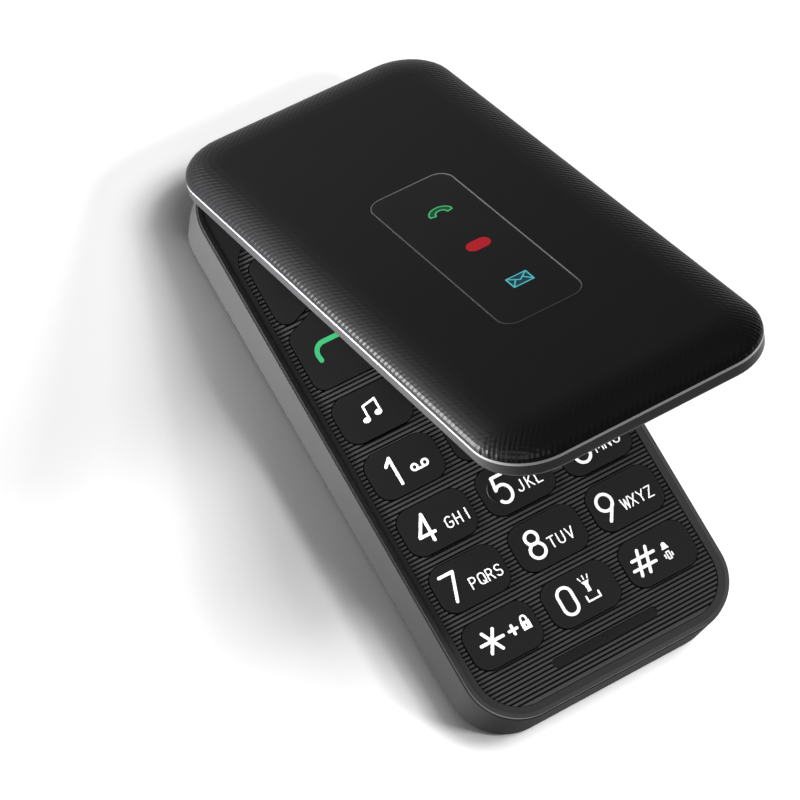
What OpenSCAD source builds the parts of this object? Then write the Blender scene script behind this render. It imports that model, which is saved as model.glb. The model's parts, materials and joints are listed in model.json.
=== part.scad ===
// Flip phone: a keypad base and a lid joined by a barrel hinge, drawn with the lid part open.
// Millimetres, +Z up. The origin is the middle of the flat underside; +Y points to the hinge.
// The lid's pieces are drawn as if it were closed and then turned about the hinge axis.

/* [Body] */
// Width of both halves
body_w = 56; // [55:0.25:58]
// Length of both halves
body_l = 118.6; // [118:0.2:121]
// Height of the base with its trim ring
base_t = 13.6; // [13.4:0.1:14]
// Thickness of the lid at its crown
lid_t = 6.2; // [6:0.1:6.8]
// Corner radius seen from above
corner_r = 10.6; // [10:0.1:11.5]
// Air between the closed lid and the trim ring
closing_gap = 0.3; // [0.25:0.05:0.5]

/* [Hinge] */
// Angle by which the lid stands open
open_angle = 38; // [0:1:150]
// Radius of the hinge barrel
nose_r = 4.1; // [3.9:0.05:4.2]
// Length of the barrel that the lid carries
barrel_l = 24.2; // [22:0.2:25]
// Width of each barrel end that the base carries
knuckle_w = 6.5; // [6:0.1:6.8]
// Radius of the plain hinge pin
pin_r = 1.25; // [1.1:0.05:1.5]
// Radial running clearance of the hinge
hinge_fit = 0.05; // [0.03:0.01:0.08]

/* [Keypad] */
// Gap between two key columns
column_gap = 2.5; // [2.2:0.1:3.5]
// Gap between two key rows
row_gap = 2.55; // [2.2:0.05:3.5]
// Plate left bare beside the outer key columns
key_margin = 1.35; // [1.2:0.05:2]
// Corner radius of a number key
key_r = 3; // [2:0.1:3.5]
// Gap round each key
key_gap = 0.2; // [0.15:0.05:0.25]
// Outer radius of the navigation ring
nav_r = 12; // [11.5:0.1:12.2]
// Distance between the fine ribs of the keypad plate
rib_pitch = 0.825; // [0.8:0.025:1]
// Depth of the grooves between the ribs
rib_depth = 0.25; // [0.15:0.05:0.35]

/* [Lid window] */
// Width of the indicator window
window_w = 17; // [15:0.5:19]
// Length of the indicator window
window_l = 47.4; // [44:0.2:50]

/* [Hidden] */
$fn = 48;

// Ends of the phone along Y, where places are counted from
front_y = -body_l / 2;
rear_y = body_l / 2;

// Heights in the base
deck_z = base_t - 0.1;
plate_top = deck_z - 0.3;
plate_t = 1.2;
plate_z = plate_top - plate_t;
seam_z = base_t - 1.15;
seam_h = 0.3;
seam_depth = 0.45;
floor_t = 2;
wall = 1.3;
board_z = seam_z - 3.65;
board_t = 0.8;
dome_t = 0.25;
dome_top = board_z + board_t + dome_t;
foot_r = 1.8;

// Hinge
axis_y = rear_y - nose_r;
nose_drop = 0.05;
axis_z = deck_z - nose_r - nose_drop;
side_play = 0.3;
zone_x = barrel_l / 2 + side_play + knuckle_w;
zone_fit = 0.1;
notch_r = nose_r + 0.5;
neck_reach = 6.2;
bevel_angle = 150;

// Trim and deck, as distances in from the outline
ring_in = 0.15;
ring_w = 0.8;
recess_in = 2.25;
plate_fit = 0.15;
plate_in = recess_in + plate_fit;
plate_short = 16.2;
plate_front = front_y + plate_in;
plate_rear = rear_y - plate_short;
rear_r = 4.6;

// Keys: five rows lie between the plain front of the plate and the keys round the navigation ring
rows = 5;
rows_in = [11.2, 47.7];
rows_front = front_y + rows_in[0];
rows_rear = rear_y - rows_in[1];
key_w = (body_w - 2 * (plate_in + key_margin) - 2 * column_gap) / 3;
pitch_x = key_w + column_gap;
pitch_y = (rows_rear - rows_front) / rows;
key_l = pitch_y - row_gap;
row_0 = rows_front + key_l / 2;
key_top = deck_z;
flange_lap = 0.3;
flange_t = 0.6;
flange_top = plate_z - 0.1;
stem_r = 1.5;
key_travel = 0.35;
stem_end = dome_top + key_travel + 0.05;
groove_share = 0.48;
nav_in = 32.8;
nav_y = rear_y - nav_in;
nav_top = key_top - 0.1;
nav_hole = nav_r + 0.3;
ok_r = 5.2;
ok_gap = 0.7;
nav_flange_z = plate_z - 0.9;
corner_left = 3.7 - body_w / 2;
side_key_gap = 0.4;

// Battery bay, seen from below
bay_in = [6.7, 14, 44];
bay_w = body_w - 2 * bay_in[0];
bay_y0 = front_y + bay_in[1];
bay_y1 = rear_y - bay_in[2];
bay_top = 6.4;
bay_wall = 1.1;
cover_t = 0.95;
cover_lap = 2.8;
cover_fit = 0.1;

// Places of the base's screws, sockets and small parts. Each _in list holds distances in from the
// phone's sides and ends: side, front, rear for screws, and side, rear for the pieces at the rear.
screw_in = [7, 6.3, 13.1];
screw_x = body_w / 2 - screw_in[0];
screw_ys = [front_y + screw_in[1], rear_y - screw_in[2]];
screw_r = 0.8;
screw_seat = 1.65;
boss_r = 2.3;
camera_in = [15, 20.3];
camera_xy = [body_w / 2 - camera_in[0], rear_y - camera_in[1]];
torch_x = 2;
torch_xy = [torch_x, camera_xy[1]];
speaker_in = [15, 26.3];
speaker_xy = [speaker_in[0] - body_w / 2, rear_y - speaker_in[1]];
speaker_w = 15;
speaker_l = 11;
motor_x = 3;
motor_in = 33.3;
motor_xy = [motor_x, rear_y - motor_in];
motor_r = 4.5;
usb_in = 25.3;
usb_y = front_y + usb_in;
usb_w = 7.6;
usb_h = 2.7;
jack_in = 38.7;
jack_y = rear_y - jack_in;
jack_body_w = 6.2;
jack_r = 1.8;
jack_z = board_z - 3.4;
volume_in = 25.3;
volume_y = rear_y - volume_in;
volume_l = 15;
volume_w = 3.2;
volume_z = 6.1;
slot_in = 6.95;
slot_y = front_y + slot_in;
slot_l = 22.9;
slot_w = 1.95;
sim_in = 5.5;
sim_w = 26;
sim_l = 17;
sim_x = -0.8;
dome_in = [3.2, 9.8, 18.3];
shield_in = [7, 13, 16.8];
shield_l = 18;
shield_h = 1.8;

// Heights in the lid, from its inner face upwards
lid_z = base_t + closing_gap;
lid_floor = 1.5;
lens_t = 0.85;
lid_wall = 1.2;
rim_z = 2.35;
lid_ring_t = 0.55;
line_gap = 0.05;
cover_z = rim_z + lid_ring_t + 2 * line_gap;
shoulder = 9;
skin = 1.1;
panel_t = 1.6;
lid_board_z = lid_floor + panel_t + 0.05;
lid_board_t = 0.7;
window_t = 0.7;
window_in = 64.7;
window_y = rear_y - window_in;
window_r = 3;
led_ys = [window_y + 13.5, window_y + 0.5, window_y - 13];
lens_in = [4, 8.8, 23.3];
lens_w = body_w - 2 * lens_in[0];
lens_y0 = front_y + lens_in[1];
lens_y1 = rear_y - lens_in[2];
screen_in = [6.5, 17.3, 43.3];
screen_w = body_w - 2 * screen_in[0];
screen_y0 = front_y + screen_in[1];
screen_y1 = rear_y - screen_in[2];
lid_board_in = [6, 13.8, 20.3];
ear_in = 12.3;
slot_ear_y = front_y + ear_in;
ear_w = 15;
ear_l = 7.5;
lid_screw_in = [8.5, 5.9, 16.8];
lid_screw_x = body_w / 2 - lid_screw_in[0];
lid_screw_ys = [front_y + lid_screw_in[1], rear_y - lid_screw_in[2]];
bumper_x = 10;
bumper_in = 3.7;
bumper_y = front_y + bumper_in;

// Hinge cartridge, along X from the lid barrel's left end
can_r = 2.8;
can_wall = 0.45;
can_l = 11;
shaft_r = 1.2;
shaft_head_r = 1.9;
shaft_in = 3;
follower_l = 1.8;
pin_reach = 8.2;
spring_turns = 5;
spring_wire = 0.25;

black = "#1e1e1f";
graphite = "#8f8f90";
silver = "#b8b8b8";
charcoal = "#333334";
steel = "#a9abad";
copper = "#2f6b45";
clear = "#2a2a2d";

// ---------- Shared outlines ----------

// Rounded rectangle about the origin
module rounded(w, l, r) {
    square([w - 2 * r, l], center = true);
    square([w, l - 2 * r], center = true);
    for (sx = [-1, 1], sy = [-1, 1])
        translate([sx * (w / 2 - r), sy * (l / 2 - r)]) circle(r);
}

// Rounded rectangle between two Y values, with its own front and rear radii
module rounded_span(w, y0, y1, r_front, r_rear) {
    translate([-w / 2, y0 + r_front]) square([w, y1 - y0 - r_front - r_rear]);
    translate([-w / 2 + r_front, y0]) square([w - 2 * r_front, r_front + 1]);
    translate([-w / 2 + r_rear, y1 - r_rear - 1]) square([w - 2 * r_rear, r_rear + 1]);
    for (s = [-1, 1]) {
        translate([s * (w / 2 - r_front), y0 + r_front]) circle(r_front);
        translate([s * (w / 2 - r_rear), y1 - r_rear]) circle(r_rear);
    }
}

// The phone's outline from above, drawn in by d
module outline(d = 0) {
    rounded(body_w - 2 * d, body_l - 2 * d, corner_r - d);
}

// A quarter disc that fills the corner of a bottom edge
module quarter(e) {
    intersection() {
        translate([0, e]) circle(e);
        square(e);
    }
}

// The outline as a block whose bottom edge is rounded by e
module rounded_block(d, h, e) {
    w = body_w - 2 * d;
    l = body_l - 2 * d;
    r = corner_r - d;
    translate([0, 0, e]) linear_extrude(h - e) outline(d);
    linear_extrude(e) outline(d + e);
    for (s = [0, 1]) mirror([s, 0, 0]) {
        translate([w / 2 - e, l / 2 - r, 0]) rotate([90, 0, 0]) linear_extrude(l - 2 * r) quarter(e);
        for (t = [0, 1]) mirror([0, t, 0])
            translate([w / 2 - r, l / 2 - r, 0])
                rotate_extrude(angle = 90) translate([r - e, 0]) quarter(e);
    }
    for (t = [0, 1]) mirror([0, t, 0])
        translate([-w / 2 + r, l / 2 - e, 0]) rotate([90, 0, 90]) linear_extrude(w - 2 * r) quarter(e);
}

// A shape drawn in the Y-Z plane, extruded along X about the middle
module along_x(length) {
    translate([-length / 2, 0, 0]) rotate([90, 0, 90]) linear_extrude(length) children();
}

// A cylinder on the hinge axis between two X values
module on_axis(x0, x1, r) {
    translate([x0, axis_y, axis_z]) rotate([0, 90, 0]) cylinder(r = r, h = x1 - x0);
}

// Puts lid pieces, drawn closed with Z from the lid's inner face, where the open lid has them
module on_lid() {
    translate([0, axis_y, axis_z]) rotate([-open_angle, 0, 0]) translate([0, -axis_y, lid_z - axis_z]) children();
}

// ---------- Base shells ----------

// Side view of the base. The rear underside is cut away so that the lid can swing past it.
module side_outline() {
    back = [nose_r * sin(bevel_angle), nose_r * cos(bevel_angle)];
    run = nose_r + 0.55;
    hollow = [back[0] + run * cos(bevel_angle), back[1] - run * sin(bevel_angle)];
    polygon([
        [front_y, 0],
        [axis_y + hollow[0] - 1.3, 0],
        [axis_y + hollow[0], axis_z + hollow[1]],
        [axis_y + back[0], axis_z + back[1]],
        [axis_y, axis_z],
        [axis_y, axis_z + nose_r],
        [axis_y - 1.5, base_t],
        [front_y, base_t]
    ]);
    translate([axis_y, axis_z]) circle(nose_r);
}

// Everything that the base may fill between two heights, drawn in by d
module base_slab(d, z0, z1) {
    intersection() {
        along_x(body_w) side_outline();
        translate([0, 0, z0]) linear_extrude(z1 - z0) outline(d);
    }
}

// The space that the lid's barrel and the base's two barrel ends need
module hinge_zone() {
    top = base_t + 1;
    front = axis_y - notch_r;
    translate([-zone_x - zone_fit, front, axis_z - notch_r])
        cube([2 * (zone_x + zone_fit), body_l, top]);
    translate([-barrel_l / 2 - side_play, front, axis_z - neck_reach])
        cube([barrel_l + 2 * side_play, body_l, top]);
}

module screw_places(ys, x) {
    for (s = [-1, 1], y = ys) translate([s * x, y, 0]) children();
}

module rear_housing() {
    cavity_rear = axis_y - notch_r - 1;
    bay_l = bay_y1 - bay_y0;
    bay_mid = (bay_y0 + bay_y1) / 2;
    color(graphite) difference() {
        union() {
            difference() {
                intersection() {
                    rounded_block(0, seam_z, foot_r);
                    along_x(body_w) side_outline();
                }
                translate([0, 0, floor_t]) linear_extrude(base_t) intersection() {
                    outline(wall);
                    translate([-body_w, -body_l]) square([2 * body_w, body_l + cavity_rear]);
                }
                hinge_zone();
            }
            translate([0, bay_mid, floor_t - 0.5])
                linear_extrude(bay_top + 0.8 - floor_t + 0.5)
                    square([bay_w + 2 * bay_wall, bay_l + 2 * bay_wall], center = true);
            screw_places(screw_ys, screw_x) cylinder(r = boss_r, h = board_z - 0.05);
        }
        translate([0, bay_mid, -1]) linear_extrude(bay_top + 1) square([bay_w, bay_l], center = true);
        cover_recess();
        sim_window();
        screw_places(screw_ys, screw_x) {
            translate([0, 0, -1]) cylinder(r = screw_r + 0.05, h = base_t);
            cylinder_between(-1, screw_seat, 1.75);
        }
        translate([camera_xy[0], camera_xy[1], -1]) cylinder(r = 3.6, h = 4);
        translate([torch_xy[0], torch_xy[1], -1]) cylinder(r = 1.65, h = 4);
        for (i = [-2:2]) translate([speaker_xy[0] - 4.5, speaker_xy[1] + 2 * i - 0.5, -1]) cube([9, 1, 4]);
        usb_opening();
        translate([body_w / 2 - wall - 1, jack_y, jack_z]) rotate([0, 90, 0]) cylinder(r = 2.6, h = 4);
        translate([body_w / 2 - wall - 1, volume_y, volume_z]) volume_outline(3.6, side_key_gap);
    }
}

module cover_outline(fit) {
    l = bay_y1 - bay_y0;
    translate([0, (bay_y0 + bay_y1) / 2])
        rounded(bay_w + 2 * (cover_lap + fit), l + 2 * (cover_lap + fit), 3 + fit);
}

module cover_recess() {
    translate([0, 0, -1]) linear_extrude(cover_t + 1.05) cover_outline(cover_fit);
}

module sim_window() {
    fit = 0.2;
    translate([sim_x - sim_w / 2 - fit, bay_y0 + sim_in - fit, bay_top - 1])
        cube([sim_w + 2 * fit, sim_l + 2 * fit, 3]);
}

module usb_opening() {
    translate([body_w / 2 - wall - 1, usb_y, board_z - usb_h / 2]) rotate([90, 0, 90])
        linear_extrude(4) rounded(usb_w + 0.6, usb_h + 0.6, 1.2);
}

module battery_cover() {
    pull_l = 14;
    color(graphite) difference() {
        linear_extrude(cover_t) cover_outline(0);
        translate([-pull_l / 2, bay_y0 - cover_lap + 1.2, -0.5]) cube([pull_l, 1, 1]);
        translate([-pull_l / 2, bay_y0 - cover_lap + 3.2, -0.5]) cube([pull_l, 1, 1]);
        translate([-pull_l / 2, bay_y0 - cover_lap + 5.2, -0.5]) cube([pull_l, 1, 1]);
    }
}

module front_housing() {
    color(black) {
        difference() {
            union() {
                base_slab(ring_in + ring_w, seam_z, deck_z);
                base_slab(seam_depth, seam_z, seam_z + seam_h);
                skirt();
                screw_places(screw_ys, screw_x) cylinder_between(board_z + board_t + 0.05, seam_z + 0.1, boss_r);
            }
            translate([0, 0, plate_z]) linear_extrude(base_t) plate_outline(plate_fit);
            hinge_zone();
            screw_places(screw_ys, screw_x) cylinder(r = screw_r, h = seam_z - 0.3);
        }
        base_knuckle(-zone_x, shaft_head_r);
        base_knuckle(zone_x - knuckle_w, pin_r);
    }
}

// A wall inside the rear housing's wall. The keypad plate lies on it, and it is cut away at the rear boards.
module skirt() {
    rear = axis_y - notch_r - 1.1;
    bar = 1.9;
    difference() {
        translate([0, 0, dome_top + 0.3]) linear_extrude(seam_z - dome_top - 0.15) intersection() {
            outline(wall + 0.1);
            translate([-body_w, -body_l]) square([2 * body_w, body_l + rear]);
        }
        translate([0, 0, -1]) linear_extrude(base_t) plate_outline(-0.7);
        translate([-screw_x - boss_r + 0.9, plate_rear - 4, -1])
            cube([2 * (screw_x + boss_r - 0.9), rear - bar - plate_rear + 4, base_t]);
    }
}

// One of the base's two barrel ends, from x0 towards +X, with a bore of radius r
module base_knuckle(x0, r) {
    front = axis_y - notch_r;
    top = deck_z - 2 * nose_drop;
    difference() {
        translate([x0, 0, 0]) rotate([90, 0, 90]) linear_extrude(knuckle_w) {
            translate([axis_y, axis_z]) circle(nose_r);
            polygon([
                [front - 1, seam_z + 0.2], [front, seam_z + 0.2], [front, axis_z - 1], [axis_y, axis_z - 1],
                [axis_y, top], [front - 1, top]
            ]);
        }
        on_axis(x0 - 1, x0 + knuckle_w + 1, r);
    }
}

// The keypad plate's outline, grown by d
module plate_outline(d = 0) {
    rounded_span(
        body_w - 2 * (plate_in - d), plate_front - d, plate_rear + d,
        corner_r - plate_in + d, rear_r + d
    );
}

module trim_ring() {
    color(silver) difference() {
        base_slab(ring_in, seam_z + seam_h, base_t);
        linear_extrude(2 * base_t) outline(ring_in + ring_w);
        translate([-body_w, axis_y, 0]) cube([2 * body_w, body_l, 2 * base_t]);
    }
}

// ---------- Keys ----------

function key_x(col) = col * pitch_x;
function key_y(row) = row_0 + row * pitch_y;

// Outline of a key of the three-column block, grown by d
module key_outline(col, row, d = 0) {
    translate([key_x(col), key_y(row)]) rounded(key_w + 2 * d, key_l + 2 * d, key_r + d);
}

module number_key(col, row) {
    color(charcoal) {
        translate([0, 0, flange_top - flange_t]) linear_extrude(flange_t)
            key_outline(col, row, key_gap + flange_lap);
        translate([0, 0, flange_top]) linear_extrude(key_top - flange_top) key_outline(col, row);
        translate([key_x(col), key_y(row), stem_end])
            cylinder(r = stem_r, h = flange_top - flange_t - stem_end);
    }
}

// The finger locator is a low arc on the left of the middle number key
module key_5() {
    number_key(0, 2);
    color(charcoal) translate([-3.4, key_y(2), key_top]) rotate([0, 0, 130])
        rotate_extrude(angle = 100) translate([2.4, 0]) intersection() {
            circle(0.15);
            translate([-1, 0]) square(2);
        }
}

// Outline of a corner key beside the navigation ring. kind 0 is the lower key, 1 the upper one.
module corner_outline(kind, d = 0) {
    left = corner_left;
    right = -7.5;
    split_l = nav_y - 2.3;
    split_r = nav_y + 4.1;
    half_gap = 0.6;
    low = rows_rear;
    high = plate_rear - 3.5;
    blend = 2.2;
    lower = [[left, low], [right, low], [right, split_r - half_gap], [left, split_l - half_gap]];
    upper = [[left, split_l + half_gap], [right, split_r + half_gap], [right, high], [left, high]];
    offset(r = blend + d, $fn = 32) offset(delta = -blend) difference() {
        polygon(kind == 0 ? lower : upper);
        translate([0, nav_y]) circle(nav_hole + 1.1, $fn = 96);
    }
}

// A corner key on the left; side 1 mirrors it to the right
module corner_key(kind, side) {
    stem_x = corner_left + 5.3;
    stem_y = kind == 0 ? rows_rear + 5.4 : plate_rear - 9.1;
    color(charcoal) mirror([side, 0, 0]) {
        translate([0, 0, flange_top - flange_t]) linear_extrude(flange_t)
            corner_outline(kind, flange_lap + key_gap / 2);
        translate([0, 0, flange_top - 0.01]) linear_extrude(key_top - flange_top + 0.01) corner_outline(kind);
        translate([stem_x, stem_y, stem_end]) cylinder(r = stem_r, h = flange_top - flange_t / 2 - stem_end);
    }
}

// The rocker ring tips on its rim, so its flange hangs lower than the other keys' flanges
module nav_ring() {
    color(charcoal) translate([0, nav_y, 0]) difference() {
        union() {
            cylinder_between(nav_flange_z, nav_flange_z + 0.5, nav_r + 0.5);
            cylinder_between(nav_flange_z, nav_top, nav_r);
        }
        cylinder(r = ok_r + ok_gap, h = 2 * base_t);
        translate([0, 0, nav_top + 8.6]) sphere(9.6, $fn = 64);
    }
}

// Soft plungers stuck under the ring, each over the dome that it presses
module nav_plungers() {
    plunger_r = 1.2;
    color(charcoal) for (a = [45:90:315]) translate([0, nav_y, 0]) rotate(a)
        translate([nav_r - plunger_r - 0.4, 0, 0])
            cylinder_between(dome_top + 0.4, nav_flange_z, plunger_r);
}

module ok_key() {
    flange_z = plate_z - 1.6;
    color(charcoal) translate([0, nav_y, 0]) {
        cylinder_between(stem_end, flange_z + 0.4, stem_r);
        cylinder_between(flange_z, flange_z + 0.4, ok_r + ok_gap + 0.25);
        cylinder_between(flange_z, nav_top - 0.1, ok_r);
    }
}

module cylinder_between(z0, z1, r) {
    translate([0, 0, z0]) cylinder(r = r, h = z1 - z0);
}

module keypad_plate() {
    color(black) difference() {
        translate([0, 0, plate_z]) linear_extrude(plate_t) plate_outline();
        translate([0, 0, plate_z - 1]) linear_extrude(base_t) {
            for (col = [-1:1], row = [0:4]) key_outline(col, row, key_gap);
            translate([0, nav_y]) circle(nav_hole);
        }
        for (kind = [0, 1], side = [0, 1]) mirror([side, 0, 0])
            translate([0, 0, plate_z - 1]) linear_extrude(base_t) corner_outline(kind, key_gap);
        translate([0, slot_y, plate_top - 0.45]) linear_extrude(1) rounded(slot_l, slot_w, slot_w / 2 - 0.01);
        translate([0, slot_y, plate_z - 1]) cylinder(r = 0.5, h = base_t);
        plate_grooves();
    }
}

// Fine grooves across the plate leave ribs between them, with a plain margin at both ends
module plate_grooves() {
    count = floor((plate_rear - plate_front) / rib_pitch) - 1;
    start = (plate_front + plate_rear - (count - 1) * rib_pitch) / 2;
    for (i = [0:count - 1])
        translate([0, start + i * rib_pitch, plate_top]) cube([body_w, rib_pitch * groove_share, 2 * rib_depth], center = true);
}

// The side key's outline, pushed out along +X
module volume_outline(depth, d) {
    rotate([90, 0, 90]) linear_extrude(depth)
        rounded(volume_l + 2 * d, volume_w + 2 * d, volume_w / 2 + d - 0.01);
}

module volume_key() {
    proud = 0.5;
    inside = body_w / 2 - wall - 0.9;
    color(charcoal) {
        translate([inside, volume_y, volume_z]) volume_outline(body_w / 2 + proud - inside, 0);
        translate([inside, volume_y, volume_z]) volume_outline(0.5, 0.8);
    }
}

// ---------- Inside the base ----------

module battery() {
    fit = 0.2;
    color("#3f4a55") translate([0, (bay_y0 + bay_y1) / 2, cover_t + 0.05])
        linear_extrude(bay_top - cover_t - 0.3)
            rounded(bay_w - 2 * fit, bay_y1 - bay_y0 - 2 * fit, 1.5);
}

module main_board() {
    fit = 0.5;
    color(copper) difference() {
        translate([0, 0, board_z]) linear_extrude(board_t) intersection() {
            outline(wall + fit);
            translate([-body_w, -body_l]) square([2 * body_w, body_l + axis_y - notch_r - 1.8]);
        }
        screw_places(screw_ys, screw_x) cylinder(r = screw_r + 0.1, h = base_t);
    }
}

module dome_sheet() {
    color(steel) translate([0, 0, board_z + board_t])
        linear_extrude(dome_t)
            rounded_span(body_w - 2 * dome_in[0], front_y + dome_in[1], rear_y - dome_in[2], 2, 2);
}

module shield_can() {
    color(steel) translate([shield_in[0] - body_w / 2, rear_y - shield_in[2] - shield_l, board_z - shield_h])
        cube([body_w - shield_in[0] - shield_in[1], shield_l, shield_h]);
}

module sim_holder() {
    color(steel) difference() {
        translate([sim_x - sim_w / 2, bay_y0 + sim_in, bay_top + 0.1])
            cube([sim_w, sim_l, board_z - bay_top - 0.1]);
        translate([sim_x - sim_w / 2 + 1, bay_y0 + sim_in - 1.2, bay_top + 0.6])
            cube([sim_w - 2, sim_l, 0.9]);
    }
}

module loudspeaker() {
    color(charcoal) translate([speaker_xy[0], speaker_xy[1], floor_t])
        linear_extrude(3.4) rounded(speaker_w, speaker_l, 2);
}

module vibration_motor() {
    color(steel) translate([motor_xy[0], motor_xy[1], floor_t]) cylinder(r = motor_r, h = 2.8);
}

module microphone() {
    color(steel) translate([0, slot_y, board_z + board_t]) cylinder(r = 2, h = plate_z - board_z - board_t - 0.05);
}

module usb_socket() {
    shell = 0.3;
    back = bay_w / 2 + bay_wall + 0.2;
    length = body_w / 2 - 0.6 - back;
    color(steel) translate([back, usb_y, board_z - usb_h / 2]) rotate([90, 0, 90]) difference() {
        linear_extrude(length) rounded(usb_w, usb_h, 0.9);
        translate([0, 0, 1]) linear_extrude(length) difference() {
            rounded(usb_w - 2 * shell, usb_h - 2 * shell, 0.6);
            square([usb_w - 2.4, 0.7], center = true);
        }
    }
}

module headphone_socket() {
    depth = 12;
    back = body_w / 2 - wall - depth;
    color(charcoal) difference() {
        union() {
            translate([back, jack_y - jack_body_w / 2, jack_z - 2.6])
                cube([depth - 0.1, jack_body_w, board_z - jack_z + 2.6]);
            translate([body_w / 2 - wall - 1, jack_y, jack_z]) rotate([0, 90, 0])
                cylinder(r = 2.55, h = wall + 0.9);
        }
        translate([back + 0.8, jack_y, jack_z]) rotate([0, 90, 0]) cylinder(r = jack_r, h = depth + 4);
    }
}

module camera_module() {
    color(charcoal) translate([camera_xy[0], camera_xy[1], floor_t]) {
        translate([-4.2, -4.2, 0]) cube([8.4, 8.4, 2]);
        cylinder(r = 3.4, h = 4.4);
    }
}

module camera_window() {
    color(clear) translate([camera_xy[0], camera_xy[1], 0.1]) difference() {
        cylinder(r = 3.55, h = floor_t - 0.15);
        translate([0, 0, 0.8]) cylinder(r = 2.4, h = floor_t);
    }
}

module torch_lens() {
    color("white") translate([torch_xy[0], torch_xy[1], 0]) {
        cylinder_between(0.1, floor_t + 0.01, 1.6);
        cylinder_between(floor_t, floor_t + 1.2, 2.4);
    }
}

module housing_screws() {
    color(steel) screw_places(screw_ys, screw_x) difference() {
        union() {
            cylinder_between(0.6, screw_seat, 1.6);
            cylinder_between(1.6, seam_z - 0.6, screw_r);
        }
        for (a = [0, 90]) rotate(a) translate([-1, -0.2, 0]) cube([2, 0.4, 1.1]);
    }
}

// ---------- Hinge ----------

// The turning half of the cartridge is held in the base's left barrel end
module hinge_shaft() {
    can_x = -barrel_l / 2 + 0.1;
    color(steel) {
        on_axis(-zone_x + 0.4, -barrel_l / 2 - side_play, shaft_head_r);
        on_axis(-zone_x + 0.4, can_x + shaft_in, shaft_r);
        on_axis(can_x + can_wall + 0.1, can_x + shaft_in, can_r - can_wall - hinge_fit);
    }
}

module hinge_pin() {
    color(steel) on_axis(barrel_l / 2 - pin_reach, zone_x - 0.4, pin_r);
}

module hinge_can() {
    x0 = -barrel_l / 2 + 0.1;
    color(steel) turned() difference() {
        on_axis(x0, x0 + can_l, can_r);
        on_axis(x0 + can_wall, x0 + can_l - can_wall, can_r - can_wall);
        on_axis(x0 - 1, x0 + can_l / 2, shaft_r + hinge_fit);
    }
}

module hinge_follower() {
    x0 = -barrel_l / 2 + 0.1 + shaft_in + 0.05;
    color(steel) turned() {
        on_axis(x0, x0 + follower_l, can_r - can_wall - hinge_fit);
        on_axis(x0, x0 + follower_l + 0.8, shaft_r);
    }
}

// Turns a piece that lies on the hinge axis with the lid
module turned() {
    translate([0, axis_y, axis_z]) rotate([-open_angle, 0, 0]) translate([0, -axis_y, -axis_z]) children();
}

module hinge_spring() {
    sides = 6;
    steps = 14;
    coil_r = can_r - can_wall - spring_wire - 0.15;
    x0 = -barrel_l / 2 + 0.1 + shaft_in + 0.05 + follower_l + spring_wire + 0.05;
    x1 = -barrel_l / 2 + 0.1 + can_l - can_wall - spring_wire - 0.05;
    rings = spring_turns * steps;
    points = [for (i = [0:rings], j = [0:sides - 1])
        let (
            turn = 360 * i / steps,
            side = 360 * j / sides,
            out = coil_r + spring_wire * cos(side)
        )
        [x0 + (x1 - x0) * i / rings + spring_wire * sin(side), out * cos(turn), out * sin(turn)]
    ];
    walls = [for (i = [0:rings - 1], j = [0:sides - 1])
        let (a = i * sides + j, b = i * sides + (j + 1) % sides)
        each [[a, b, a + sides], [b, b + sides, a + sides]]
    ];
    first = [for (j = [sides - 1:-1:0]) j];
    last = [for (j = [0:sides - 1]) rings * sides + j];
    color(steel) turned() translate([0, axis_y, axis_z])
        polyhedron(points, concat(walls, [first, last]));
}

// ---------- Lid ----------

module lid_block(d, z0, z1) {
    translate([0, 0, z0]) linear_extrude(z1 - z0) outline(d);
}

module lens_outline(d = 0) {
    rounded_span(lens_w + 2 * d, lens_y0 - d, lens_y1 + d, 4 + d, 4 + d);
}

module ear_slot(w, h) {
    translate([0, slot_ear_y, 0]) linear_extrude(h) rounded(w, 1.6, 0.79);
}

module lid_inner_housing() {
    neck = 2.6;
    color(black) on_lid() difference() {
        union() {
            difference() {
                rounded_block(0, rim_z, 0.7);
                lid_block(lid_wall, lid_floor, lid_t);
            }
            screw_places(lid_screw_ys, lid_screw_x) cylinder(r = 2.1, h = cover_z - 0.1);
            translate([-barrel_l / 2, axis_y - neck, axis_z - lid_z])
                cube([barrel_l, 2 * neck, lid_z - axis_z + 0.8]);
            translate([-barrel_l / 2, axis_y, axis_z - lid_z]) rotate([0, 90, 0])
                cylinder(r = nose_r, h = barrel_l);
        }
        translate([0, 0, -1]) linear_extrude(lens_t + 1) lens_outline(0.1);
        translate([-screen_w / 2, screen_y0, 0]) cube([screen_w, screen_y1 - screen_y0, 3]);
        ear_slot(12, 3);
        screw_places(lid_screw_ys, lid_screw_x) {
            translate([0, 0, -1]) cylinder(r = 1.6, h = 2);
            translate([0, 0, -1]) cylinder(r = 0.75, h = 6);
        }
        for (s = [-1, 1]) translate([s * bumper_x, bumper_y, -1]) cylinder(r = 1.5, h = 1.5);
        translate([-barrel_l / 2 - 1, axis_y, axis_z - lid_z]) rotate([0, 90, 0])
            cylinder(r = can_r, h = can_l + 1.2);
        translate([barrel_l / 2 - pin_reach - 0.4, axis_y, axis_z - lid_z]) rotate([0, 90, 0])
            cylinder(r = pin_r + hinge_fit, h = pin_reach + 1.4);
    }
}

module lid_trim_ring() {
    color(silver) on_lid() difference() {
        lid_block(0, rim_z + line_gap, rim_z + line_gap + lid_ring_t);
        lid_block(lid_wall, 0, lid_t);
    }
}

// Points of one level of the cover: the outline drawn in by d, at height z
function level(d, z, steps) = [
    for (q = [0:3], i = [0:steps])
        let (
            a = 90 * q + 90 * i / steps,
            sx = q == 0 || q == 3 ? 1 : -1,
            sy = q < 2 ? 1 : -1
        )
        [sx * (body_w / 2 - corner_r) + (corner_r - d) * cos(a),
         sy * (body_l / 2 - corner_r) + (corner_r - d) * sin(a), z]
];

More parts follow.
